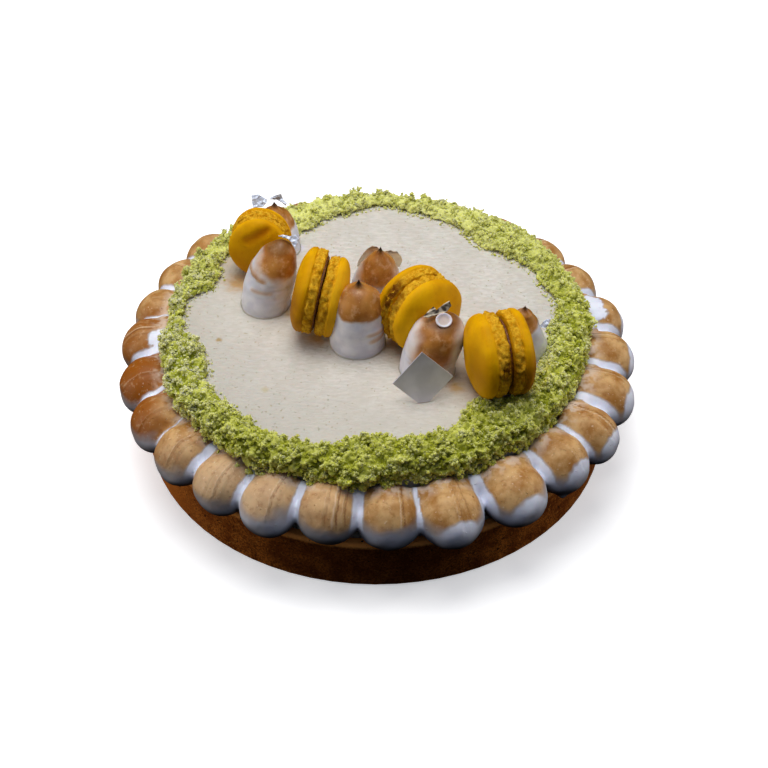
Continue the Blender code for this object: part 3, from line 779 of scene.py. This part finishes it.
# Where the feet scorched
for x, y, z, size in ((5.5, -17, 90, 12), (-27.5, -20, 79, 5), (57, -61, 84, 7)):
    scorch = look.near(x, y, z).between(size, size * 0.3) * look.grain(2.6, 3, 0.6, seed=4).between(0.34, 0.48)
    ruffled = look.coat(ruffled, (scorch * 0.9, (90, 36, 2)))
yellow = look.mix(rim, yellow, ruffled)
shell_look = look.finish(yellow, 0.5 + fine * 0.2 + rim * 0.2, fine * (0.3 + rim * 1.0) + broad * 0.4, 0.35)
look = Look("ganache", Specular_IOR_Level=0.5)
fine = look.grain(0.9, 3, 0.6)
dark = look.coat((84, 42, 4), (fine.between(0.4, 0.65), (138, 80, 10)))
ganache_look = look.finish(dark, 0.45, fine, 0.5)
for piece in shells:
    kind, number, *letter = piece.name.split("_")
    if kind == "shell":
        wear(piece, shell_look, f"macaron_{number}_shell_{letter[0]}")
    else:
        wear(piece, ganache_look, f"macaron_{number}_filling")

# --- Kisses --------------------------------------------------------------------------------------
# Six drops of meringue piped upright and drawn off to a tip. They are white and silky, creased where the
# piping sank, with the upper half torched brown and the tip burnt black.

# Base, tip, widest radius, how full the shoulders are, and whether it was drawn to a tip
FOOT_GAP = 0.1
KISSES = (
    ((-49.1, 57.0), (-49.4, 57.3, 86.8), 11.8, 2.2, True),
    ((-52.0, 13.2), (-43.5, 14.5, 95.6), 11.8, 3.9, False),
    ((-8.6, -14.5), (-7.9, -15.5, 97.0), 12.8, 4.6, True),
    ((-0.8, 14.0), (1.8, 11.5, 95.4), 12.2, 2.3, True),
    ((22.8, -33.0), (29.8, -32.0, 89.8), 12.6, 7.0, False),
    ((65.9, -18.3), (66.0, -22.0, 88.5), 12.4, 1.15, True),
)


def kiss_width(height, full, drawn_off):
    """Share of the widest radius at a share of the height."""
    body = max(1 - (height / (0.9 if drawn_off else 1.0)) ** full, 0) ** 0.62
    tip = 0.24 * (max(1 - height, 0) / 0.15) ** 1.25 if drawn_off and height > 0.6 else 0
    blend = (max(body, 0.001) ** 6 + min(tip, 0.3) ** 6) ** (1 / 6)
    return max(blend * (1 - 0.07 * math.exp(-height / 0.05) + 0.09 * math.exp(-height / 0.01)), 0.01)


# Height share where the brown starts, how softly, its slant towards the left, how far it reaches to the left and
# right of the middle in mm, and how dark the tip is
CAPS = (
    (0.5, 0.1, -0.04, -20, 20, 0.9), (0.53, 0.16, -0.06, -8, 12, 0.5), (0.53, 0.08, -0.02, -9.6, 14, 1.0),
    (0.4, 0.2, 0.0, -9.2, 9.2, 1.0), (0.06, 0.46, 0.0, -9.8, 7.4, 0.5), (0.45, 0.1, 0.12, -14, 11, 0.9),
)
# Brown bands and creases on the sides, by kiss: height share, its fall to the right, thickness share,
# from and to which way they face (degrees to the right of the front), brown, and depth in mm
BANDS = {
    2: ((0.55, -0.05, 0.045, -110, -18, 0.75, -0.3), (0.505, -0.05, 0.01, -80, 10, -0.5, 0.5),
        (0.43, -0.01, 0.01, -60, 50, -0.6, 0.5), (0.4, -0.005, 0.034, -46, 6, 0.6, -0.2),
        (0.3, 0.0, 0.012, -50, 50, -0.2, 0.3), (0.2, 0.02, 0.012, -20, 60, -0.2, 0.25)),
    3: ((0.37, 0.0, 0.04, 22, 80, 0.6, -0.3), (0.415, 0.0, 0.01, 10, 85, -0.3, 0.45),
        (0.24, 0.04, 0.046, 28, 80, 0.65, -0.25), (0.305, 0.02, 0.01, 8, 85, -0.3, 0.45)),
    5: ((0.33, 0.0, 0.012, -60, 70, 0.15, 0.3), (0.4, 0.0, 0.012, -70, 60, 0.1, 0.3),
        (0.26, 0.02, 0.01, -70, 40, 0.1, 0.25)),
}
look = Look("dried meringue", Specular_IOR_Level=0.35, Subsurface_Weight=0.12, Subsurface_Scale=0.003)
toast, burn = look.attribute("toast"), look.attribute("burn")
fine, broad = look.grain(0.8, 3), look.grain(6, 3)
white = look.coat((208, 207, 220), (broad.between(0.35, 0.65), (226, 224, 232)))
brown = look.coat(
    (154, 94, 30),
    (broad.between(0.3, 0.7), (188, 128, 58)),
    (look.grain(4, 3, 0.6, seed=2).between(0.5, 0.7) * 0.6, (216, 170, 124)),
    (fine.between(0.6, 0.75) * 0.4, (208, 160, 100)),
)
colour = look.coat(white, (toast.between(0.0, 0.5) * 0.4, (206, 184, 150)))
wet = look.attribute("wet")
colour = look.coat(look.mix(toast.between(0.15, 1.0), colour, brown), (burn, (34, 18, 8)), (wet * 0.7, (176, 160, 124)))
kiss_look = look.finish(colour, 0.3 + fine * 0.22 - wet * 0.22, fine * 0.2 + broad * 0.5, 0.3)
for number, (base, tip, radius, full, drawn_off) in enumerate(KISSES):
    rise = tip[2] - DISC_TOP - FOOT_GAP
    heights = [0, 0.006, 0.014, *np.linspace(0.025, 0.8, 32), *np.linspace(0.815, 1, 16)]
    rings = []
    for h in heights:
        lean = h ** 1.3
        rings.append((DISC_TOP + FOOT_GAP + rise * h, radius * kiss_width(h, full, drawn_off),
                      base[0] + (tip[0] - base[0]) * lean, base[1] + (tip[1] - base[1]) * lean))
    piece = drawn(f"kiss_{number + 1}_piped", 80, rings)
    at, facing = points(piece.data), points(piece.data, "normal")
    height = (at[:, 2] - DISC_TOP) / rise
    bend = np.clip(height, 0, 1) ** 1.3
    x = at[:, 0] - base[0] - (tip[0] - base[0]) * bend
    y = at[:, 1] - base[1] - (tip[1] - base[1]) * bend
    right = np.degrees(np.arctan2(x, -y))
    start, soft, slant, left, most, dark = CAPS[number]
    wobble = wander(at, 6, number) * 0.05 + wander(at, 1.5, number) * 0.012
    fade = min(1 + soft * 12, 4)
    window = ease(left - fade, left + fade, x + wobble * 25) * ease(most + fade, most - fade, x + wobble * 25)
    toast = ease(start, start + soft, height + wobble - slant * np.sin(np.radians(right)))
    toast *= np.maximum(window, ease(0.84, 0.93, height) * (number != 4))
    sunk = np.zeros(len(at))
    for level, fall, thick, low, high, browned, deep in BANDS.get(number + 1, ()):
        window = ease(low - 12, low + 4, right) * ease(high + 12, high - 4, right)
        ridge = bell(height - level - fall * np.radians(right), thick) * window
        toast = np.clip(toast + ridge * browned, 0, 1)
        sunk += ridge * deep
    keep(piece.data, "toast", toast)
    keep(piece.data, "burn", ease(0.87, 0.96, height + wobble * 0.5) * dark)
    keep(piece.data, "wet", ease(0.022, 0.006, height))
    piece.data.vertices.foreach_set("co", ((at - facing * sunk[:, None]) * MM).ravel())
    apply(piece, lumps(9, 1.4))
    if number == 4:
        # Its tip folded over into a little curl
        profile = ((-1.4, 2.9), (0.2, 3.4), (0.6, 3.5), (0.95, 3.3), (1.0, 2.95), (0.7, 2.6), (0.45, 2.1), (0.4, 1.2),
                   (0.4, 0.1))
        curl = drawn("curl", 48, [(h, r, 0, 0) for h, r in profile])
        far = np.hypot(*points(curl.data)[:, :2].T)
        # Brown on the curl's outer rim; the darker inside is painted shade, kept as browning
        keep(curl.data, "toast", np.maximum(ease(3.2, 3.45, far) * 0.8, ease(2.8, 2.2, far) * 0.45))
        keep(curl.data, "burn", ease(3.35, 3.5, far) * 0.3)
        face = Vector((0.05, -0.5, 0.86)).to_track_quat("Z", "Y").to_matrix().to_4x4()
        place = Matrix.Translation(Vector((29.4, -35.2, 90.0)) * MM)
        curl.data.transform(place @ face @ Matrix.Diagonal((1.08, 1.0, 1, 1)))
        piece = join([piece, curl], piece.name)
    wear(piece, kiss_look, f"kiss_{number + 1}")

# --- Silver leaf ---------------------------------------------------------------------------------
# Scraps of edible silver leaf caught on the tips of the kisses: a crumpled film, its painted reflection bright where
# a facet faces the light and dark where it turns away.

# How bright each scrap's painted reflection is, how crumpled, how much of the brown of its kiss it mirrors in painted
# reflection, how dark that painted reflection is on its upper rim, and its outline in mm
LEAVES = (
    (1.4, 0.5, 0, 0, (
        (-60.1, 59.4, 89.0), (-56.9, 59.7, 89.4), (-54.9, 58.9, 88.5), (-52.6, 58.1, 87.5), (-53.2, 56.8, 86.1),
        (-54.5, 55.8, 84.9), (-57.5, 55.5, 84.6), (-59.2, 55.3, 84.4), (-59.9, 57.1, 86.4))),
    (0.6, 0.6, 0, 0, (
        (-52.1, 59.3, 86.8), (-50.2, 60.3, 87.9), (-47.4, 60.9, 88.6), (-46.0, 61.0, 88.7), (-45.0, 59.2, 86.7),
        (-43.3, 58.1, 85.5), (-43.6, 57.1, 84.4), (-45.9, 58.2, 85.6), (-48.3, 59.2, 86.7))),
    (1.15, 0.5, 0, 0, (
        (-45.1, 16.0, 97.1), (-42.6, 16.6, 97.5), (-39.9, 16.1, 97.0), (-36.8, 16.6, 97.5), (-35.4, 15.0, 95.8),
        (-36.4, 13.6, 94.2), (-37.6, 11.9, 94.0), (-39.1, 14.0, 94.9), (-40.7, 15.2, 96.2), (-42.9, 15.5, 96.6))),
    (0.8, 0.25, 0.8, 0.45, (
        (-9.4, 29.3, 69.6), (-8.6, 27.6, 74.8), (-6.4, 25.8, 80.3), (-4.2, 24.6, 84.0), (-2.1, 24.0, 85.9),
        (0.3, 24.2, 85.4), (1.4, 24.9, 83.1), (-1.8, 28.1, 73.3), (-7.5, 30.3, 66.5))),
    (0.75, 0.25, 1, 0.45, (
        (3.4, 25.9, 80.2), (3.8, 25.3, 82.0), (6.4, 25.2, 82.3), (9.8, 25.6, 81.1), (11.4, 26.6, 78.0),
        (12.1, 27.5, 75.0), (10.9, 29.3, 69.6), (6.3, 29.1, 70.2))),
    (0.1, 0.16, 1, 0, (
        (20.4, -32.9, 90.1), (22.1, -31.5, 91.6), (24.9, -29.8, 93.6), (26.3, -30.8, 92.4), (29.1, -29.2, 94.2),
        (31.9, -28.1, 95.5), (32.8, -29.4, 93.8), (30.8, -31.2, 91.8), (27.8, -32.4, 91.0), (25.2, -32.6, 90.6),
        (22.6, -33.2, 90.0))),
    (1.1, 0.4, 0, 0, (
        (73.5, -21.5, 76.0), (74.7, -20.2, 77.5), (76.3, -19.6, 78.2), (78.0, -19.4, 78.4), (77.3, -20.8, 76.8),
        (76.3, -22.1, 75.4), (74.5, -22.2, 75.2))),
)
# Bright creases painted as highlights in the dark scrap, each from one corner of its outline to another
CREASES = {5: ((1, 5), (0, 7))}

look = Look("silver leaf", Metallic=0.2, Specular_IOR_Level=0.6)
shine, fine = look.attribute("shine"), look.grain(0.9, 3, 0.6)
warm = look.attribute("warm")
silver = look.coat(
    (44, 32, 14),
    (shine.between(0.0, 0.5), (160, 158, 160)),
    (shine.between(0.5, 1.0), (212, 222, 240)),
    (warm * shine.between(0.0, 0.6), (250, 232, 196)),
)
leaf_look = look.finish(silver, 0.2 + fine * 0.25 + warm * 0.35, fine, 0.4)
for number, (bright, crumple, warm, dark_rim, outline) in enumerate(LEAVES):
    corners = np.array(outline)
    bpy.ops.mesh.primitive_circle_add(vertices=len(corners), radius=1, fill_type="NGON")
    piece = bpy.context.object
    piece.name = piece.data.name = f"silver_{number + 1}"
    piece.data.vertices.foreach_set("co", (corners * MM).ravel())
    piece.data.update()
    bpy.ops.object.mode_set(mode="EDIT")
    bpy.ops.mesh.select_all(action="SELECT")
    bpy.ops.mesh.quads_convert_to_tris(ngon_method="BEAUTY")
    bpy.ops.mesh.subdivide(number_cuts=9)
    bpy.ops.object.mode_set(mode="OBJECT")
    at = points(piece.data)
    facing = np.cross(corners[2] - corners[0], corners[-2] - corners[0])
    facing /= np.linalg.norm(facing)
    crease = np.abs(wander(at, 2.6, number)) * 2.2 + np.abs(wander(at, 1.1, number + 9)) * 0.9 - 0.9
    rim = ease(0.72, 0.95, (at[:, 2] - at[:, 2].min()) / np.ptp(at[:, 2])) * dark_rim
    facet = ease(-0.25, 0.25, wander(at, 1.7, number + 4)) - 0.5
    # Painted reflection: bright or dark by facet and by crease, darker on the upper rim
    shine = bright - rim + facet * crumple
    for start, end in CREASES.get(number, ()):
        run = corners[end] - corners[start]
        share = np.clip((at - corners[start]) @ run / (run @ run), 0, 1)
        shine += bell(np.linalg.norm(at - corners[start] - share[:, None] * run, axis=1), 0.3) * 0.4
    keep(piece.data, "shine", np.clip(shine, 0, 1))
    keep(piece.data, "warm", np.full(len(at), warm))
    crease *= crumple
    ragged = np.stack([wander(at, 1.3, number + k) for k in (20, 30, 40)], axis=1) * 0.6 * crumple
    piece.data.vertices.foreach_set("co", ((at + facing * crease[:, None] + ragged) * MM).ravel())
    apply(piece, ("SOLIDIFY", {"thickness": 0.0001, "offset": 0.0}))
    bpy.ops.object.shade_smooth()
    piece.select_set(False)
    wear(piece, leaf_look, f"leaf_{number + 1}")

# --- Tag -----------------------------------------------------------------------------------------
# A small square of satin silver card, die-cut from thin board. It stands on one corner, pushed a few millimetres
# into the cream in front of a kiss, and both its sides are bare.

look = Look("silver card", Metallic=0.35)
fine = look.grain(0.5, 3)
card = look.coat((202, 199, 212), (look.grain(9, 2).between(0.35, 0.65), (220, 217, 230)))
wear(frame["nodes"]["tag"], look.finish(card, 0.42, fine, 0.03))

# --- Stage ---------------------------------------------------------------------------------------
# A pale floor, a broad soft light from above and a little behind, a warmer low one at each side, a faint sky
# and the camera.

bpy.ops.mesh.primitive_plane_add(size=40)
floor = bpy.context.object
floor.name = "floor"
look = Look("floor", Emission_Color=(1, 1, 1, 1), Emission_Strength=0.45)
floor.data.materials.append(look.finish(paint(250, 250, 250), 0.9, look.grain(40), 0.01))
floor.visible_diffuse = floor.visible_glossy = False
for name, spot, size, power, colour in (
    ("key", (-0.08, 0.12, 0.95), 0.7, 7.6, (1.0, 0.985, 0.95)),
    ("left", (-0.85, -0.05, 0.2), 0.4, 2.3, (1.0, 0.93, 0.84)),
    ("right", (0.85, 0.15, 0.2), 0.4, 2.1, (1.0, 0.93, 0.84)),
):
    lamp = bpy.data.lights.new(name, "AREA")
    lamp.size, lamp.energy, lamp.color = size, power, colour
    made = added(name, lamp)
    made.location = spot
    made.rotation_euler = Vector((-spot[0], -spot[1], 0.04 - spot[2])).to_track_quat("-Z", "Y").to_euler()
world = bpy.data.worlds.new("studio")
bpy.context.scene.world = world
world.use_nodes = True
tree = world.node_tree
sky, split, rise = (tree.nodes.new("ShaderNode" + kind) for kind in ("TexCoord", "SeparateXYZ", "MapRange"))
tree.links.new(sky.outputs["Generated"], split.inputs[0])
tree.links.new(split.outputs["Z"], rise.inputs["Value"])
for socket, value in (("From Min", 0.25), ("From Max", 1.0), ("To Min", 0.0), ("To Max", 0.5)):
    rise.inputs[socket].default_value = value
tree.links.new(rise.outputs[0], tree.nodes["Background"].inputs["Strength"])
tree.nodes["Background"].inputs["Color"].default_value = (0.72, 0.79, 1.0, 1)
# The camera itself sees a plain pale backdrop above the floor
ray, backdrop, choice = (tree.nodes.new("ShaderNode" + kind) for kind in ("LightPath", "Background", "MixShader"))
backdrop.inputs["Color"].default_value = (0.86, 0.88, 0.93, 1)
tree.links.new(ray.outputs["Is Camera Ray"], choice.inputs[0])
tree.links.new(tree.nodes["Background"].outputs[0], choice.inputs[1])
tree.links.new(backdrop.outputs[0], choice.inputs[2])
tree.links.new(choice.outputs[0], tree.nodes["World Output"].inputs[0])
bpy.context.scene.view_settings.view_transform = "Standard"

camera = bpy.data.cameras.new("camera")
camera.lens = 77.1
made = added("camera", camera)
# Where it stands, and which ways its right, its top and its back face
stand = (0, -0.58816, 0.54807)
right, up, back = (
    (0.9999714, 0.00025979, 0.00755779), (-0.00580286, 0.66721509, 0.7448425), (-0.00484917, -0.74486506, 0.66719751),
)
made.matrix_world = Matrix([*zip(right, up, back, stand), (0, 0, 0, 1)])
bpy.context.scene.camera = made
